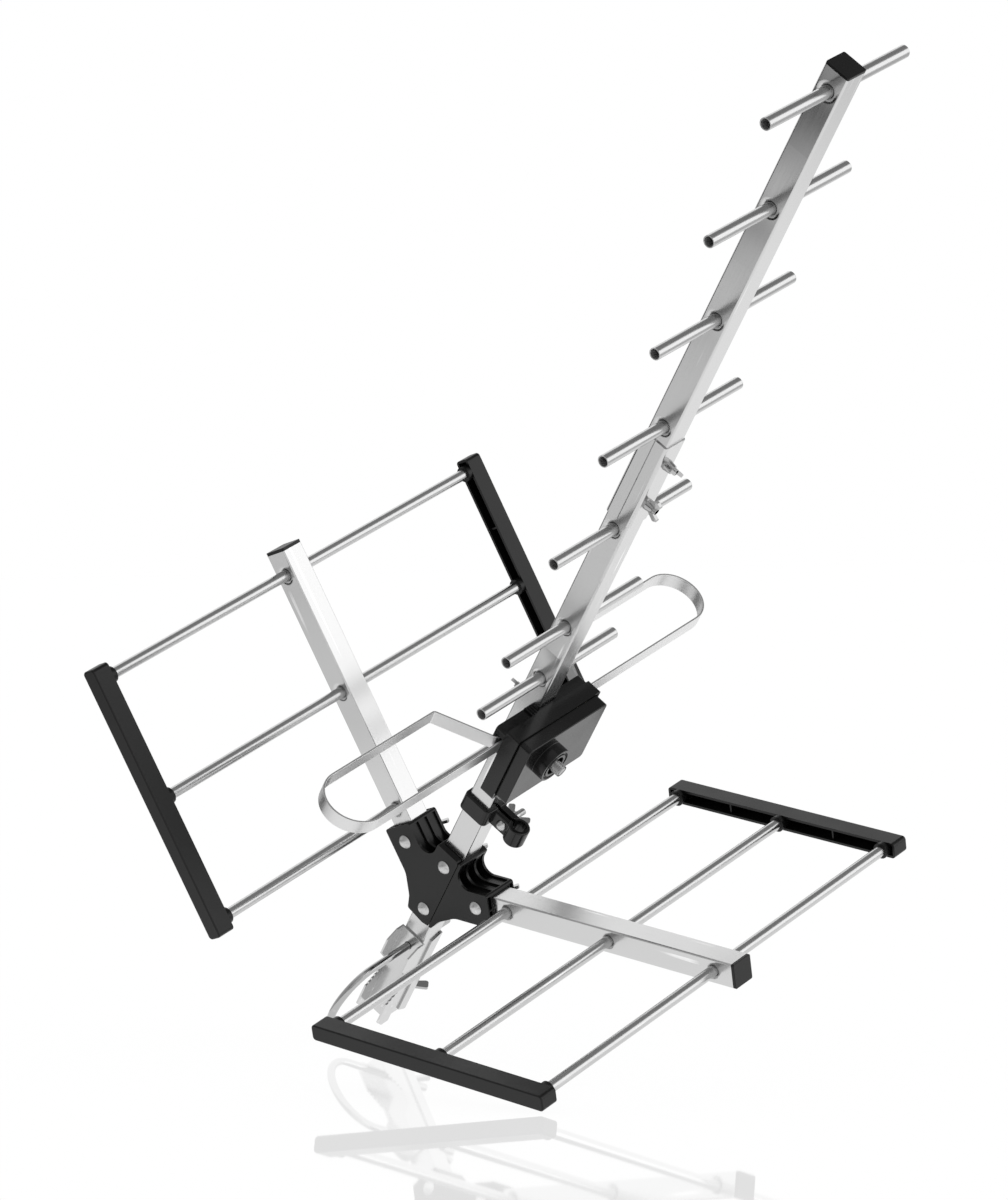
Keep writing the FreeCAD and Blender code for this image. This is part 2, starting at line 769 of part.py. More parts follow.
def clampChannel():
    back = half
    front = back + clampSheet
    x0 = clampMid - clampHalf
    x1 = clampMid + clampHalf
    web = block(x0, x1, back, front, -channelSide, channelSide)
    outline = [(x1, front), (x1, back), (x1 - 5, channelReach), (x0 + 5, channelReach), (x0, back), (x0, front)]
    for sign in (-1, 1):
        z0, z1 = sorted((sign * half, sign * channelSide))
        web = web.fuse(prismXY(outline, z0, z1))
    for x in (-legHalf, legHalf):
        web = web.cut(rod(legDia / 2 + 0.4, V(x, 0, 0), V(x, boomSide, 0)))
    return web.removeSplitter()


def uBolt():
    a = V(legHalf, legTail, 0)
    b = V(legHalf, bowCentre, 0)
    c = V(-legHalf, bowCentre, 0)
    d = V(-legHalf, legTail, 0)
    path = Part.Wire([
        Part.makeLine(a, b),
        Part.Arc(b, V(0, bowCentre - legHalf, 0), c).toShape(),
        Part.makeLine(c, d)])
    section = Part.Wire(Part.makeCircle(legDia / 2, a, V(0, -1, 0)))
    return path.makePipeShell([section], True, True)


def clampWingNuts():
    nut = wingNut(legDia, clampWingHeight, clampWingSpan, 6.4)
    seat = half + clampSheet
    rear = toAlong(nut, V(-legHalf, seat, 0), V(0, 1, 0), 80)
    front = toAlong(nut, V(legHalf, seat, 0), V(0, 1, 0), 10)
    return Part.makeCompound([rear, front])


def export(name, shape):
    shape = shape.copy()
    shape.translate(V(0, boomOffset, 0))
    shape.exportStep("parts/%s.step" % name)
    print(name, len(shape.Solids), round(shape.Volume, 1), shape.isValid())


def build():
    export("boom_front", boomFront())
    export("boom_rear", boomRear())
    export("boom_end_cap", plugCap(boomNose, noseCapThick))
    for i, x in enumerate(directorPlaces()):
        export("director_%d" % (i + 1), director(x))
    export("joint_channel_upper", jointChannel(1))
    export("joint_channel_lower", jointChannel(-1))
    export("joint_bolts", jointBolts())
    export("joint_wing_nuts", jointWingNuts())
    export("dipole", dipole())
    export("balun_body", balunBody())
    export("balun_lid", balunLid())
    export("f_connector", connector())
    export("circuit_board", circuitBoard())
    export("balun_core", balunCore())
    export("contact_posts", contactPosts())
    export("box_bolt", boxBolt())
    export("box_wing_nut", boxWingNut())
    upper = bracketHalf()
    export("bracket_upper", upper)
    export("bracket_lower", lowerCopy(upper))
    export("bracket_bolts", bracketBolts())
    export("bracket_wing_nuts", bracketWingNuts())
    arm = reflectorArm()
    cap = turnToArm(plugCap(armEnd, armCapThick))
    export("reflector_arm_upper", arm)
    export("reflector_arm_lower", lowerCopy(arm))
    export("arm_cap_upper", cap)
    export("arm_cap_lower", lowerCopy(cap))
    for i, along in enumerate(rodPlaces()):
        one = reflectorRod(along)
        export("reflector_rod_upper_%d" % (i + 1), one)
        export("reflector_rod_lower_%d" % (i + 1), lowerCopy(one))
    bar = endBar()
    export("end_bar_upper_right", bar)
    export("end_bar_upper_left", mirrorY(bar))
    export("end_bar_lower_left", lowerCopy(bar))
    export("end_bar_lower_right", lowerCopy(mirrorY(bar)))
    export("boom_clip", boomClip())
    export("clip_bolt", clipBolt())
    export("clip_wing_nut", clipWingNut())
    export("clamp_jaw", clampJaw())
    export("clamp_channel", clampChannel())
    export("u_bolt", uBolt())
    export("clamp_wing_nuts", clampWingNuts())


build()
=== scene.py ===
import math

import bpy
import bmesh
import numpy as np
from mathutils import Matrix, Vector


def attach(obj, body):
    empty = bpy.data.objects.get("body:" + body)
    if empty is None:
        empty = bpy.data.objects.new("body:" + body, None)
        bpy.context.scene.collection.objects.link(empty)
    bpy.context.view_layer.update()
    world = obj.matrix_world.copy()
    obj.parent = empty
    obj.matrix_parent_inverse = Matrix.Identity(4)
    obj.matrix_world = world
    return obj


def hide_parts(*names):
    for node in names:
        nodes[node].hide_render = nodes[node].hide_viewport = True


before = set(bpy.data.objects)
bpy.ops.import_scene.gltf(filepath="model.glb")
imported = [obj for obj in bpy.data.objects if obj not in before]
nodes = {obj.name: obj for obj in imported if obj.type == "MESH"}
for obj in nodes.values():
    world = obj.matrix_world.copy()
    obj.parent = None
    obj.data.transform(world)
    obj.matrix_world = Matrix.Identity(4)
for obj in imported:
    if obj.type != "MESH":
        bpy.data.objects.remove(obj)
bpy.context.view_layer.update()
scene = bpy.context.scene
scene.view_settings.view_transform = "Standard"

mm = 0.001
grainHeight = 0.1 * mm

# Where the photographer's right, down and forward point in the antenna's frame
lookRight = Vector((0.3152, 0.63561, -0.70473))
lookDown = Vector((-0.66511, -0.38175, -0.64179))
lookForward = Vector((-0.67696, 0.67102, 0.30243))

print("stage: pattern groups")

# Marks on bare metal: the noise levels between which each of them fades in, and patches a metre.
# The dent beside a pressed hole has its reach along the tube in metres, its depth in millimetres, and
# how squarely a face must look along Y to have it.
scratchForm = {"patches": 22.0, "crest": (0.66, 0.70), "patch": (0.50, 0.62)}
smudgeLevels = (0.3, 0.7)
grainLevels = (0.25, 0.75)
dentForm = {"along": 0.027, "depth": -1.3, "facing": (0.6, 0.9)}

# A mix node's sockets by number, because their names repeat
mixSockets = {
    "RGBA": {"first": 6, "second": 7, "result": 2},
    "FLOAT": {"first": 2, "second": 3, "result": 0},
}


def newMaterial(name):
    material = bpy.data.materials.new(name)
    material.use_nodes = True
    tree = material.node_tree
    tree.nodes.clear()
    out = tree.nodes.new("ShaderNodeOutputMaterial")
    return material, tree, out


def addNode(tree, kind, **values):
    node = tree.nodes.new(kind)
    for key, value in values.items():
        if hasattr(node, key):
            setattr(node, key, value)
        else:
            node.inputs[key.replace("_", " ")].default_value = value
    return node


def ramp(tree, source, low, high, toLow=0.0, toHigh=1.0):
    # Source values from low to high become toLow to toHigh
    span = addNode(tree, "ShaderNodeMapRange")
    for socket, value in (("From Min", low), ("From Max", high), ("To Min", toLow), ("To Max", toHigh)):
        span.inputs[socket].default_value = value
    tree.links.new(source, span.inputs["Value"])
    return span.outputs["Result"]


def newGroup(name, numbers):
    tree = bpy.data.node_groups.new(name, "ShaderNodeTree")
    tree.interface.new_socket("Vector", in_out="INPUT", socket_type="NodeSocketVector")
    for label, value in numbers:
        kind = "NodeSocketVector" if isinstance(value, tuple) else "NodeSocketFloat"
        tree.interface.new_socket(label, in_out="INPUT", socket_type=kind).default_value = value
    tree.interface.new_socket("Mask", in_out="OUTPUT", socket_type="NodeSocketFloat")
    return tree, tree.nodes.new("NodeGroupInput"), tree.nodes.new("NodeGroupOutput")


def drawnLinesGroup():
    # Long fine lines: noise stretched along the drawing direction, as a mask from 0 to 1
    numbers = [("Lines Per Metre", 900.0), ("Stretch", (0.02, 1.0, 1.0))]
    tree, enter, leave = newGroup("drawnLines", numbers)
    stretch = addNode(tree, "ShaderNodeVectorMath", operation="MULTIPLY")
    noise = addNode(tree, "ShaderNodeTexNoise", Detail=1.5, Roughness=0.5)
    tree.links.new(enter.outputs["Vector"], stretch.inputs[0])
    tree.links.new(enter.outputs["Stretch"], stretch.inputs[1])
    tree.links.new(stretch.outputs[0], noise.inputs["Vector"])
    tree.links.new(enter.outputs["Lines Per Metre"], noise.inputs["Scale"])
    tree.links.new(noise.outputs["Fac"], leave.inputs["Mask"])
    return tree


def scratchGroup():
    # Sparse hairlines: the narrow crests of a stretched noise, cut up by a coarser patch noise
    numbers = [("Lines Per Metre", 260.0), ("Stretch", (0.03, 1.0, 1.0))]
    tree, enter, leave = newGroup("hairScratches", numbers)
    stretch = addNode(tree, "ShaderNodeVectorMath", operation="MULTIPLY")
    lines = addNode(tree, "ShaderNodeTexNoise", Detail=1.0)
    patch = addNode(tree, "ShaderNodeTexNoise", Scale=scratchForm["patches"], Detail=1.0)
    both = addNode(tree, "ShaderNodeMath", operation="MULTIPLY")
    tree.links.new(enter.outputs["Vector"], stretch.inputs[0])
    tree.links.new(enter.outputs["Stretch"], stretch.inputs[1])
    tree.links.new(stretch.outputs[0], lines.inputs["Vector"])
    tree.links.new(enter.outputs["Lines Per Metre"], lines.inputs["Scale"])
    tree.links.new(enter.outputs["Vector"], patch.inputs["Vector"])
    tree.links.new(ramp(tree, lines.outputs["Fac"], *scratchForm["crest"]), both.inputs[0])
    tree.links.new(ramp(tree, patch.outputs["Fac"], *scratchForm["patch"]), both.inputs[1])
    tree.links.new(both.outputs[0], leave.inputs["Mask"])
    return tree


def smudgeGroup():
    # Broad uneven patches left by handling and by plating
    tree, enter, leave = newGroup("handling", [("Patches Per Metre", 40.0)])
    noise = addNode(tree, "ShaderNodeTexNoise", Detail=2.0)
    tree.links.new(enter.outputs["Vector"], noise.inputs["Vector"])
    tree.links.new(enter.outputs["Patches Per Metre"], noise.inputs["Scale"])
    tree.links.new(ramp(tree, noise.outputs["Fac"], *smudgeLevels), leave.inputs["Mask"])
    return tree


def holeDentsGroup():
    # Share of the soft dent that pressing the tube holes leaves, on the pierced faces only: e to the
    # minus square of the distance to the nearest hole over the dent's reach
    numbers = [("First", 0.0), ("Pitch", 0.1), ("Last Index", 2.0), ("Extra", 0.0)]
    tree, enter, leave = newGroup("holeDents", numbers)
    links = tree.links

    def combine(operation, a, b):
        node = addNode(tree, "ShaderNodeMath", operation=operation)
        for socket, value in zip(node.inputs, (a, b)):
            if isinstance(value, float):
                socket.default_value = value
            else:
                links.new(value, socket)
        return node.outputs[0]

    parts = tree.nodes.new("ShaderNodeSeparateXYZ")
    links.new(enter.outputs["Vector"], parts.inputs[0])
    x = combine("SUBTRACT", parts.outputs[0], enter.outputs["First"])
    index = combine("ROUND", combine("DIVIDE", x, enter.outputs["Pitch"]), 0.0)
    index = combine("MAXIMUM", combine("MINIMUM", index, enter.outputs["Last Index"]), 0.0)
    gap = combine("SUBTRACT", x, combine("MULTIPLY", index, enter.outputs["Pitch"]))
    other = combine("SUBTRACT", parts.outputs[0], enter.outputs["Extra"])
    near = combine("MINIMUM", combine("ABSOLUTE", gap, 0.0), combine("ABSOLUTE", other, 0.0))
    along = combine("POWER", combine("DIVIDE", near, dentForm["along"]), 2.0)
    bell = combine("EXPONENT", combine("MULTIPLY", along, -1.0), 0.0)
    facing = tree.nodes.new("ShaderNodeSeparateXYZ")
    links.new(tree.nodes.new("ShaderNodeNewGeometry").outputs["Normal"], facing.inputs[0])
    pierced = ramp(tree, combine("ABSOLUTE", facing.outputs[1], 0.0), *dentForm["facing"])
    links.new(combine("MULTIPLY", bell, pierced), leave.inputs["Mask"])
    return tree


holeDents = holeDentsGroup()
drawnLines = drawnLinesGroup()
hairScratches = scratchGroup()
handling = smudgeGroup()

print("stage: materials")


def placed(tree, group, coordinates, **values):
    node = tree.nodes.new("ShaderNodeGroup")
    node.node_tree = group
    for key, value in values.items():
        node.inputs[key].default_value = value
    tree.links.new(coordinates, node.inputs["Vector"])
    return node.outputs["Mask"]


def metal(name, plan):
    # Bare metal: drawn lines and smudges vary the roughness, hairlines brighten the colour
    material, tree, out = newMaterial(name)
    shader = addNode(tree, "ShaderNodeBsdfPrincipled", Metallic=1.0)
    place = addNode(tree, "ShaderNodeTexCoord")
    turn = addNode(tree, "ShaderNodeMapping", Rotation=(0.0, math.radians(plan["turn"]), 0.0))
    turn.inputs["Location"].default_value = plan.get("shift", (0.0, 0.0, 0.0))
    tree.links.new(place.outputs["Object"], turn.inputs["Vector"])
    along = turn.outputs["Vector"]
    drawn = {"Stretch": plan["stretch"], "Lines Per Metre": plan["lines"]}
    grain = placed(tree, drawnLines, along, **drawn)
    marks = placed(tree, hairScratches, along, Stretch=plan["stretch"])
    touched = placed(tree, handling, along)
    spread = plan["spread"]
    lineRough = ramp(tree, grain, *grainLevels, plan["roughness"] - spread, plan["roughness"] + spread)
    touchRough = ramp(tree, touched, 0.0, 1.0, -0.5 * spread, 0.5 * spread)
    rough = addNode(tree, "ShaderNodeMath", operation="ADD")
    tree.links.new(lineRough, rough.inputs[0])
    tree.links.new(touchRough, rough.inputs[1])
    tree.links.new(rough.outputs[0], shader.inputs["Roughness"])
    tint = addNode(tree, "ShaderNodeMix", data_type="RGBA")
    sockets = mixSockets["RGBA"]
    bright = plan["grey"] + plan["scratch"]
    tint.inputs[sockets["first"]].default_value = (plan["grey"], plan["grey"], plan["grey"], 1)
    tint.inputs[sockets["second"]].default_value = (bright, bright, bright, 1)
    tree.links.new(marks, tint.inputs[0])
    tree.links.new(tint.outputs[sockets["result"]], shader.inputs["Base Color"])
    if plan["bump"]:
        relief = addNode(tree, "ShaderNodeBump", Strength=plan["bump"], Distance=grainHeight)
        tree.links.new(grain, relief.inputs["Height"])
        tree.links.new(relief.outputs["Normal"], shader.inputs["Normal"])
    if "holes" in plan:
        dents = placed(tree, holeDents, along, **plan["holes"])
        pressed = addNode(tree, "ShaderNodeBump", Strength=1.0, Distance=mm)
        tree.links.new(ramp(tree, dents, 0.0, 1.0, 0.0, dentForm["depth"]), pressed.inputs["Height"])
        tree.links.new(pressed.outputs["Normal"], shader.inputs["Normal"])
    tree.links.new(shader.outputs["BSDF"], out.inputs["Surface"])
    return material


plasticSpread = 0.03


def plastic(name, plan):
    # Moulded plastic: a fine leathery bump under an even sheen
    material, tree, out = newMaterial(name)
    shader = addNode(tree, "ShaderNodeBsdfPrincipled", IOR=1.5)
    shader.inputs["Base Color"].default_value = (*plan["colour"], 1)
    shader.inputs["Specular IOR Level"].default_value = plan["specular"]
    place = addNode(tree, "ShaderNodeTexCoord")
    touched = placed(tree, handling, place.outputs["Object"])
    low, high = plan["roughness"] - plasticSpread, plan["roughness"] + plasticSpread
    uneven = ramp(tree, touched, 0.0, 1.0, low, high)
    tree.links.new(uneven, shader.inputs["Roughness"])
    noise = addNode(tree, "ShaderNodeTexNoise", Scale=plan["grains"], Detail=2.0)
    relief = addNode(tree, "ShaderNodeBump", Strength=plan["bump"], Distance=grainHeight)
    tree.links.new(place.outputs["Object"], noise.inputs["Vector"])
    tree.links.new(noise.outputs["Fac"], relief.inputs["Height"])
    tree.links.new(relief.outputs["Normal"], shader.inputs["Normal"])
    tree.links.new(shader.outputs["BSDF"], out.inputs["Surface"])
    return material


# Grey is the metal's reflected share, stretch is small along the drawing direction, turn is in degrees
# about Y and shift in metres, so that x runs along the tube from its own start, and holes are the
# places of the pressed holes along it, in metres
drawnTube = {"grey": 0.66, "roughness": 0.21, "spread": 0.02, "turn": 0.0, "lines": 1400.0,
             "stretch": (0.02, 1.0, 1.0), "scratch": 0.25, "bump": 0.0}
boomHoles = {"First": 0.401, "Pitch": 0.104, "Last Index": 5.0, "Extra": 0.345}
armHoles = {"First": 0.071, "Pitch": 0.098, "Last Index": 2.0, "Extra": 0.071}
metalPlans = {
    "boomAluminium": {**drawnTube, "holes": boomHoles},
    "upperArmAluminium": {**drawnTube, "turn": 57.0, "shift": (-0.05245, 0.0, 0.08076), "holes": armHoles},
    "lowerArmAluminium": {**drawnTube, "turn": -57.0, "shift": (-0.05245, 0.0, -0.08076), "holes": armHoles},
    "jointAluminium": {**drawnTube, "roughness": 0.20},
    "tubeAluminium": {"grey": 0.59, "roughness": 0.25, "spread": 0.01, "turn": 0.0, "lines": 1400.0,
                      "stretch": (1.0, 0.03, 1.0), "scratch": 0.12, "bump": 0.0},
    "boreAluminium": {"grey": 0.55, "roughness": 0.62, "spread": 0.02, "turn": 0.0, "lines": 900.0,
                      "stretch": (1.0, 0.2, 1.0), "scratch": 0.0, "bump": 0.0},
    # The dipole strip's grey is set above the other aluminium to lift the shade inside its loop: painted
    # light
    "brightenedStripAluminium": {"grey": 0.76, "roughness": 0.33, "spread": 0.01, "turn": 0.0, "lines": 1400.0,
                       "stretch": (1.0, 0.04, 0.3), "scratch": 0.1, "bump": 0.0},
    "zincPlate": {"grey": 0.64, "roughness": 0.20, "spread": 0.04, "turn": 0.0, "lines": 350.0,
                  "stretch": (0.6, 1.0, 1.0), "scratch": 0.1, "bump": 0.02},
    "headZinc": {"grey": 0.62, "roughness": 0.34, "spread": 0.03, "turn": 0.0, "lines": 350.0,
                 "stretch": (1.0, 1.0, 1.0), "scratch": 0.1, "bump": 0.0},
    "brightZinc": {"grey": 0.50, "roughness": 0.11, "spread": 0.03, "turn": 0.0, "lines": 500.0,
                   "stretch": (1.0, 1.0, 1.0), "scratch": 0.1, "bump": 0.01},
    "nickelShell": {"grey": 0.44, "roughness": 0.12, "spread": 0.03, "turn": 0.0, "lines": 500.0,
                    "stretch": (1.0, 1.0, 1.0), "scratch": 0.1, "bump": 0.01},
}
plasticPlans = {
    "blackPlastic": {"colour": (0.006, 0.006, 0.006), "roughness": 0.34, "specular": 0.32,
                     "grains": 1500.0, "bump": 0.10},
    "glossBlackPlastic": {"colour": (0.006, 0.006, 0.006), "roughness": 0.20, "specular": 0.40,
                          "grains": 900.0, "bump": 0.03},
    "boardResin": {"colour": (0.25, 0.20, 0.08), "roughness": 0.5, "specular": 0.5,
                   "grains": 800.0, "bump": 0.1},
    "ferriteGrey": {"colour": (0.04, 0.04, 0.042), "roughness": 0.6, "specular": 0.5,
                    "grains": 900.0, "bump": 0.3},
}
finishes = {name: metal(name, plan) for name, plan in metalPlans.items()}
finishes.update({name: plastic(name, plan) for name, plan in plasticPlans.items()})

print("stage: finishes and softened edges on the packed nodes")

# Node name starts, finish, record slot, and how far edges are rounded, in millimetres. The last row
# takes every other node.
dressPlan = [
    (("boom_front", "boom_rear"), "boomAluminium", "tube_aluminium", 0.0),
    (("joint_channel",), "jointAluminium", "tube_aluminium", 0.45),
    (("reflector_arm_upper",), "upperArmAluminium", "tube_aluminium", 0.0),
    (("reflector_arm_lower",), "lowerArmAluminium", "tube_aluminium", 0.0),
    (("director_", "reflector_rod"), "tubeAluminium", "tube_aluminium", 0.22),
    (("dipole",), "brightenedStripAluminium", "tube_aluminium", 0.2),
    (("boom_clip", "balun_body", "balun_lid"), "glossBlackPlastic", "black_plastic", 0.6),
    (("bracket_upper", "bracket_lower", "end_bar"), "blackPlastic", "black_plastic", 0.6),
    (("arm_cap", "boom_end_cap"), "blackPlastic", "black_plastic", 0.4),
    (("f_connector",), "nickelShell", "nickel_connector", 0.15),
    (("circuit_board",), "boardResin", "board_laminate", 0.0),
    (("balun_core",), "ferriteGrey", "ferrite", 0.0),
    (("clamp_jaw", "clamp_channel"), "zincPlate", "zinc_steel", 0.25),
    (("",), "brightZinc", "zinc_steel", 0.2),
]
weld = {"gap": 1e-6, "flat": math.radians(0.3), "sharp": math.radians(32)}
turnedSharp = math.radians(60)
boreDepth = 0.4 * mm


def mergedCopy(name):
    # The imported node's triangles, with doubles merged and flat areas joined to single faces
    work = bmesh.new()
    work.from_mesh(nodes[name].data)
    bmesh.ops.remove_doubles(work, verts=work.verts, dist=weld["gap"])
    bmesh.ops.dissolve_limit(work, angle_limit=weld["flat"], verts=work.verts, edges=work.edges)
    mesh = bpy.data.meshes.new(name + "_skin")
    work.to_mesh(mesh)
    work.free()
    mesh.transform(nodes[name].matrix_world)
    mesh.polygons.foreach_set("use_smooth", [True] * len(mesh.polygons))
    mesh.set_sharp_from_angle(angle=weld["sharp"])
    return mesh


def lineBore(mesh):
    # Faces nearer to the tube's own axis than its wall get the duller bore finish
    mesh.materials.append(finishes["boreAluminium"])
    spots = np.empty(len(mesh.vertices) * 3)
    mesh.vertices.foreach_get("co", spots)
    spots = spots.reshape(-1, 3)
    middle = (spots.min(axis=0) + spots.max(axis=0)) / 2
    away = np.hypot(spots[:, 0] - middle[0], spots[:, 2] - middle[2])
    inside = away < away.max() - boreDepth
    picks = [int(all(inside[v] for v in face.vertices)) for face in mesh.polygons]
    mesh.polygons.foreach_set("material_index", picks)


def dress(name, finish, edge):
    piece = bpy.data.objects.new(name + "_skin", mergedCopy(name))
    scene.collection.objects.link(piece)
    piece.data.materials.append(finishes[finish])
    if finish == "tubeAluminium":
        lineBore(piece.data)
    if edge:
        soften = piece.modifiers.new("softEdges", "BEVEL")
        soften.width = edge * mm
        soften.segments = 2
        soften.limit_method = "ANGLE"
        soften.angle_limit = weld["sharp"]
        soften.use_clamp_overlap = True
    even = piece.modifiers.new("evenShade", "WEIGHTED_NORMAL")
    even.keep_sharp = True
    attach(piece, "root")
    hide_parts(name)


for name, node in nodes.items():
    finish, slot, edge = next(row[1:] for row in dressPlan if name.startswith(row[0]))
    node.data.materials.clear()
    node.data.materials.append(finishes[finish])
    dress(name, finish, edge)

print("stage: bolt heads and threads")

# The boom's centreline and the bolts along it, in millimetres
boomY = 42.0
jointBolts = (536.0, 576.0)
bracketBolts = ((130.0, 0.0), (80.0, 0.0), (120.97, 37.99), (120.97, -37.99))

# Each row: middle of the thread's root, direction, length, nominal radius, pitch and the groove's
# depth, in millimetres
threadPlan = {
    "joint": [((x, boomY, -17.2), (0, 0, -1), 3.0, 2.5, 0.8, 0.36) for x in jointBolts],
    "bracket": [((x, boomY + 21.5, z), (0, 1, 0), 3.0, 2.5, 0.8, 0.36) for x, z in bracketBolts],
    "box": [((314.0, boomY, 16.0), (0, 0, 1), 3.0, 2.5, 0.8, 0.36)],
    "clip": [((196.5, boomY + 13.7, -22.5), (0, 1, 0), 7.5, 2.5, 0.8, 0.36)],
    "clamp": [((x, boomY + 20.1, 0.0), (0, 1, 0), 15.9, 3.0, 1.0, 0.36) for x in (-32.0, 32.0)],
    "socket": [((294.0, boomY - 15.0, -40.6), (0, 0, -1), 9.9, 4.75, 0.79, 0.16)],
}
threadForm = {"around": 28, "perPitch": 6, "proud": 0.18, "root": 0.2}

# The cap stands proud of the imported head, its foot rises by foot, and it closes at the angle tip
headForm = {"around": 48, "rings": 14, "rimRound": 0.35, "proud": 0.07, "foot": 0.12, "tip": 0.06}


def turnedPiece(name, solids, finish):
    # Each solid has its foot, its direction, and heights, radii and turns on a grid of rings by points.
    # Its first and last rings are closed.
    vertices = []
    faces = []
    for foot, direction, heights, radii, turns in solids:
        axis = Vector(direction)
        side = axis.orthogonal().normalized()
        other = axis.cross(side)
        rings = (np.array(foot) + heights[..., None] * np.array(axis)
                 + (radii * np.cos(2 * np.pi * turns))[..., None] * np.array(side)
                 + (radii * np.sin(2 * np.pi * turns))[..., None] * np.array(other))
        ringCount, count = turns.shape
        first = len(vertices)
        vertices += [tuple(v) for v in rings.reshape(-1, 3) * mm]
        for i in range(ringCount - 1):
            for k in range(count):
                a = first + i * count + k
                b = first + i * count + (k + 1) % count
                faces.append((a, b, b + count, a + count))
        faces.append(tuple(reversed(range(first, first + count))))
        faces.append(tuple(range(len(vertices) - count, len(vertices))))
    mesh = bpy.data.meshes.new(name)
    mesh.from_pydata(vertices, [], faces)
    mesh.polygons.foreach_set("use_smooth", [True] * len(faces))
    mesh.set_sharp_from_angle(angle=turnedSharp)
    piece = bpy.data.objects.new(name, mesh)
    scene.collection.objects.link(piece)
    mesh.materials.append(finishes[finish])
    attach(piece, "root")


def threadSolid(root, direction, length, radius, pitch, depth):
    # Radius follows a zigzag of the height less the turn, so that the ridge climbs one pitch a turn
    steps = int(length / pitch * threadForm["perPitch"])
    around = np.arange(threadForm["around"]) / threadForm["around"]
    turns, heights = np.meshgrid(around, np.linspace(0, length, steps + 1))
    wave = np.abs(2 * ((heights / pitch - turns) % 1.0) - 1)
    ends = np.clip(np.minimum(heights, length - heights) / (0.5 * pitch), 0, 1)
    rise = threadForm["proud"] + threadForm["root"] - depth * wave
    reach = radius - threadForm["root"] + rise * ends
    return root, direction, heights, reach, turns


# Each row: middle of the seat, direction, width across and height of the domed head, in millimetres
headPlan = {
    "joint": [((x, boomY, 11.2), (0, 0, 1), 11.0, 3.2) for x in jointBolts],
    "bracket": [((x, boomY - 15.5, z), (0, -1, 0), 11.0, 3.2) for x, z in bracketBolts],
    "clip": [((196.5, boomY - 5.1, -22.5), (0, -1, 0), 9.0, 3.2)],
}


def headSolid(seat, direction, width, height):
    # A cap of a sphere turned about the bolt, with the rim rolled under at its foot. The sphere's
    # radius is (half the width squared + height squared) / (2 height).
    ball = (width * width / 4 + height * height) / (2 * height) + headForm["proud"]
    widest = math.asin(width / 2 / ball)
    angles = np.linspace(widest, headForm["tip"], headForm["rings"])
    radii = np.concatenate([[width / 2 - headForm["rimRound"]], ball * np.sin(angles)])
    levels = np.concatenate([[0.0], height + headForm["proud"] - ball + ball * np.cos(angles)])
    levels[1] = headForm["foot"]
    around = np.arange(headForm["around"]) / headForm["around"]
    turns, heights = np.meshgrid(around, levels)
    return seat, direction, heights, np.broadcast_to(radii[:, None], turns.shape), turns


for name, rows in headPlan.items():
    turnedPiece(name + "_heads", [headSolid(*row) for row in rows], "headZinc")

for name, rows in threadPlan.items():
    solids = [threadSolid(*row) for row in rows]
    if name == "socket":
        turnedPiece(name + "_thread", solids, "nickelShell")
    else:
        turnedPiece(name + "_thread", solids, "brightZinc")

print("stage: floor, light and camera")

# The pale table that the antenna lies on: normal and distance from the frame's origin, in metres.
# Glow is what the camera sees, mirror is the share of it that reflects the antenna, and shine levels
# are what polished faces see, at distances to the right in metres, which dim far to the left.
floorPlan = {
    "normal": (0.69372, 0.3353, 0.63744),
    "distance": -0.04264,
    "size": 16.0,
    "glow": 1.44,
    "shade": 0.15,
    "mirror": 0.52,
    "mirrorRoughness": 0.03,
    "shineLevels": ((-1.04, 0.0), (-0.96, 0.64), (-0.82, 0.74), (-0.45, 0.76), (-0.28, 0.92),
                    (0.5, 1.0), (1.1, 1.0), (1.6, 0.60)),
}

# Light seen after more than one polished face keeps this share, so that mirrored metal reads darker
secondMirror = {"share": 0.8, "depths": (1.2, 1.8)}


def dimmedTwice(tree, level):
    path = tree.nodes.new("ShaderNodeLightPath")
    depths, share = secondMirror["depths"], secondMirror["share"]
    weak = ramp(tree, path.outputs["Glossy Depth"], *depths, 1.0, share)
    product = addNode(tree, "ShaderNodeMath", operation="MULTIPLY")
    tree.links.new(level, product.inputs[0])
    tree.links.new(weak, product.inputs[1])
    return product.outputs[0]


def floorMesh(plan):
    up = Vector(plan["normal"]).normalized()
    side = (lookRight - up * lookRight.dot(up)).normalized()
    away = up.cross(side)
    centre = up * plan["distance"]
    reach = plan["size"] / 2
    turns = ((-1, -1), (1, -1), (1, 1), (-1, 1))
    corners = [tuple(centre + side * a * reach + away * b * reach) for a, b in turns]
    mesh = bpy.data.meshes.new("floor")
    mesh.from_pydata(corners, [], [(0, 1, 2, 3)])
    if mesh.polygons[0].normal.dot(up) < 0:
        mesh.flip_normals()
    return mesh


def shineLevel(tree, spots):
    # Sum of ramps that joins the given levels by straight lines
    place = addNode(tree, "ShaderNodeTexCoord")
    sideways = addNode(tree, "ShaderNodeVectorMath", operation="DOT_PRODUCT")
    sideways.inputs[1].default_value = tuple(lookRight)
    tree.links.new(place.outputs["Object"], sideways.inputs[0])
    level = ramp(tree, sideways.outputs["Value"], spots[0][0], spots[1][0], spots[0][1], spots[1][1])
    for (low, lowLevel), (high, highLevel) in zip(spots[1:], spots[2:]):
        if lowLevel == highLevel:
            continue
        rise = addNode(tree, "ShaderNodeMath", operation="ADD")
        tree.links.new(level, rise.inputs[0])
        step = ramp(tree, sideways.outputs["Value"], low, high, 0.0, highLevel - lowLevel)
        tree.links.new(step, rise.inputs[1])
        level = rise.outputs[0]
    return level


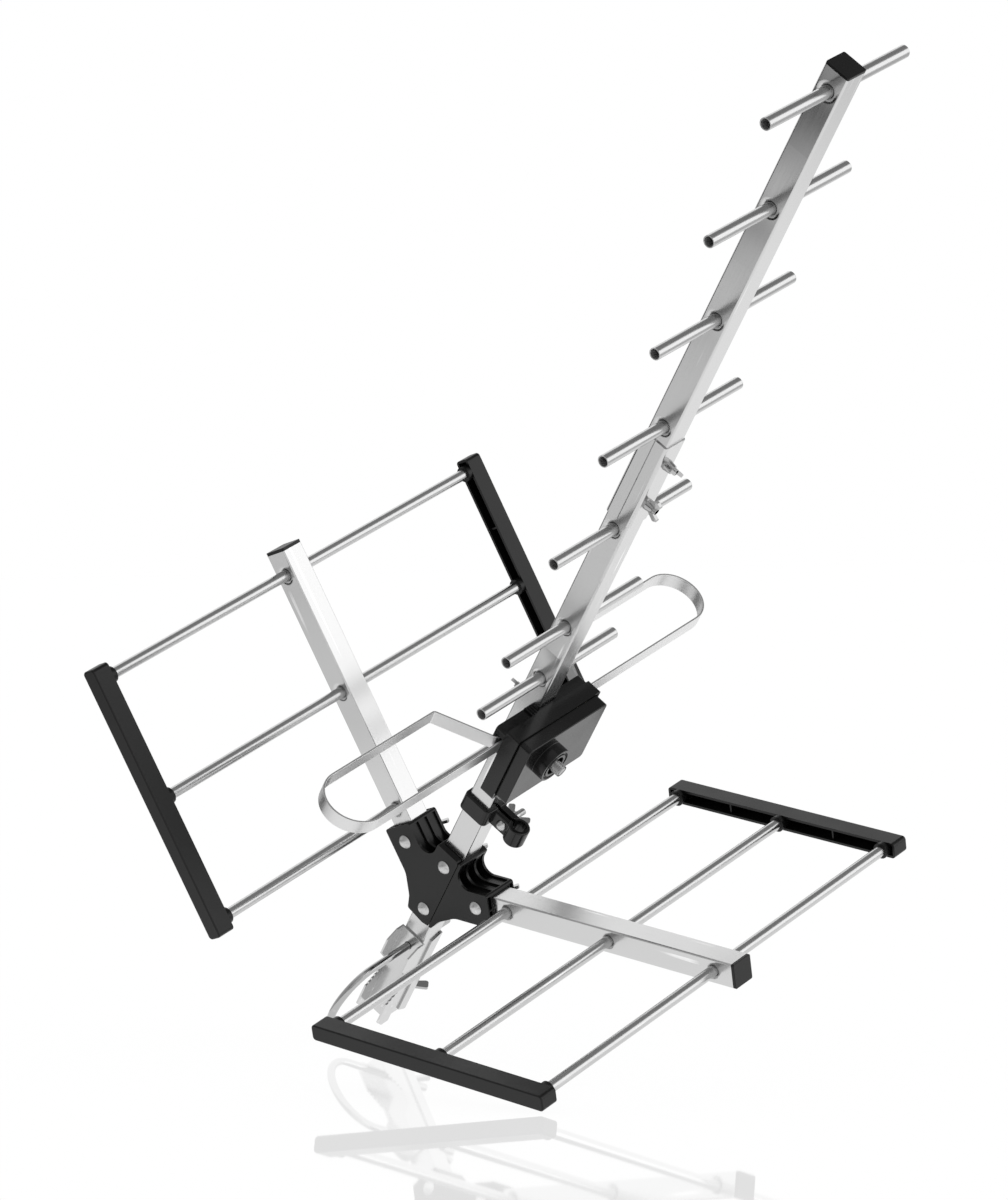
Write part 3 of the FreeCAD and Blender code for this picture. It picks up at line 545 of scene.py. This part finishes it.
def floorMaterial(plan):
    # The camera sees glow, shade and mirror, polished faces see the shine, other light sees the shade,
    # and from below the floor is clear
    material, tree, out = newMaterial("whiteFloor")
    links = tree.links
    diffuse = addNode(tree, "ShaderNodeBsdfDiffuse")
    diffuse.inputs["Color"].default_value = (*[plan["shade"]] * 3, 1)
    glow = addNode(tree, "ShaderNodeEmission", Strength=plan["glow"])
    mirror = addNode(tree, "ShaderNodeBsdfGlossy", Roughness=plan["mirrorRoughness"])
    clear = addNode(tree, "ShaderNodeBsdfTransparent")
    path = addNode(tree, "ShaderNodeLightPath")
    geometry = addNode(tree, "ShaderNodeNewGeometry")
    shine = addNode(tree, "ShaderNodeEmission")
    links.new(dimmedTwice(tree, shineLevel(tree, plan["shineLevels"])), shine.inputs["Strength"])
    lit = addNode(tree, "ShaderNodeAddShader")
    links.new(glow.outputs[0], lit.inputs[0])
    links.new(diffuse.outputs[0], lit.inputs[1])
    seen = addNode(tree, "ShaderNodeMixShader", Fac=plan["mirror"])
    links.new(lit.outputs[0], seen.inputs[1])
    links.new(mirror.outputs[0], seen.inputs[2])
    byCamera = addNode(tree, "ShaderNodeMixShader")
    links.new(path.outputs["Is Camera Ray"], byCamera.inputs[0])
    links.new(diffuse.outputs[0], byCamera.inputs[1])
    links.new(seen.outputs[0], byCamera.inputs[2])
    byGloss = addNode(tree, "ShaderNodeMixShader")
    links.new(path.outputs["Is Glossy Ray"], byGloss.inputs[0])
    links.new(byCamera.outputs[0], byGloss.inputs[1])
    links.new(shine.outputs[0], byGloss.inputs[2])
    sided = addNode(tree, "ShaderNodeMixShader")
    links.new(geometry.outputs["Backfacing"], sided.inputs[0])
    links.new(byGloss.outputs[0], sided.inputs[1])
    links.new(clear.outputs[0], sided.inputs[2])
    links.new(sided.outputs[0], out.inputs["Surface"])
    material.cycles.emission_sampling = "NONE"
    return material


floor = bpy.data.objects.new("floor", floorMesh(floorPlan))
scene.collection.objects.link(floor)
floor.data.materials.append(floorMaterial(floorPlan))

# Studio room: an even brightness, and cones with their own. Each cone has the right, up and depth of
# its middle, the cosines where it starts and is full, and its brightness.
roomPlan = {
    "around": 0.80,
    "cones": [
        ((-0.1, 0.73, 0.68), 0.86, 0.975, 1.45),
        ((0.93, 0.35, -0.10), 0.62, 0.92, 1.85),
        ((-0.7, 0.3, -0.6), 0.50, 0.90, 0.55),
        ((0.348, 0.927, 0.143), 0.804, 0.859, 0.31),
    ],
}


def studioRoom(plan):
    # The camera itself sees plain white
    world = bpy.data.worlds.new("studio")
    scene.world = world
    world.use_nodes = True
    tree = world.node_tree
    tree.nodes.clear()
    links = tree.links
    out = tree.nodes.new("ShaderNodeOutputWorld")
    shade = addNode(tree, "ShaderNodeBackground")
    white = addNode(tree, "ShaderNodeBackground", Strength=1.0)
    white.inputs["Color"].default_value = (1, 1, 1, 1)
    path = addNode(tree, "ShaderNodeLightPath")
    pick = addNode(tree, "ShaderNodeMixShader")
    place = addNode(tree, "ShaderNodeTexCoord")
    level = None
    for (right, up, depth), start, full, brightness in plan["cones"]:
        axis = (lookRight * right - lookDown * up + lookForward * depth).normalized()
        dot = addNode(tree, "ShaderNodeVectorMath", operation="DOT_PRODUCT")
        dot.inputs[1].default_value = tuple(axis)
        links.new(place.outputs["Generated"], dot.inputs[0])
        span = addNode(tree, "ShaderNodeMapRange", interpolation_type="SMOOTHSTEP")
        span.inputs["From Min"].default_value = start
        span.inputs["From Max"].default_value = full
        links.new(dot.outputs["Value"], span.inputs["Value"])
        mix = addNode(tree, "ShaderNodeMix", data_type="FLOAT")
        sockets = mixSockets["FLOAT"]
        links.new(span.outputs["Result"], mix.inputs[0])
        mix.inputs[sockets["first"]].default_value = plan["around"]
        mix.inputs[sockets["second"]].default_value = brightness
        if level:
            links.new(level, mix.inputs[sockets["first"]])
        level = mix.outputs[sockets["result"]]
    links.new(dimmedTwice(tree, level), shade.inputs["Strength"])
    links.new(path.outputs["Is Camera Ray"], pick.inputs[0])
    links.new(shade.outputs[0], pick.inputs[1])
    links.new(white.outputs[0], pick.inputs[2])
    links.new(pick.outputs[0], out.inputs["Surface"])


studioRoom(roomPlan)

# Place in metres, lens and sensor height in millimetres, and nearest and farthest sight in metres
cameraPlan = {
    "place": (2.70927, -2.27685, -0.98844),
    "lens": 142.85,
    "sensor": 36.0,
    "sight": (0.05, 100),
}


def setCamera(plan):
    data = bpy.data.cameras.new("camera")
    data.sensor_fit = "VERTICAL"
    data.sensor_height = plan["sensor"]
    data.sensor_width = plan["sensor"]
    data.lens = plan["lens"]
    data.clip_start, data.clip_end = plan["sight"]
    camera = bpy.data.objects.new("camera", data)
    scene.collection.objects.link(camera)
    axes = (lookRight.normalized(), -lookDown.normalized(), -lookForward.normalized())
    turn = Matrix(axes).transposed().to_4x4()
    camera.matrix_world = Matrix.Translation(Vector(plan["place"])) @ turn
    scene.camera = camera


setCamera(cameraPlan)
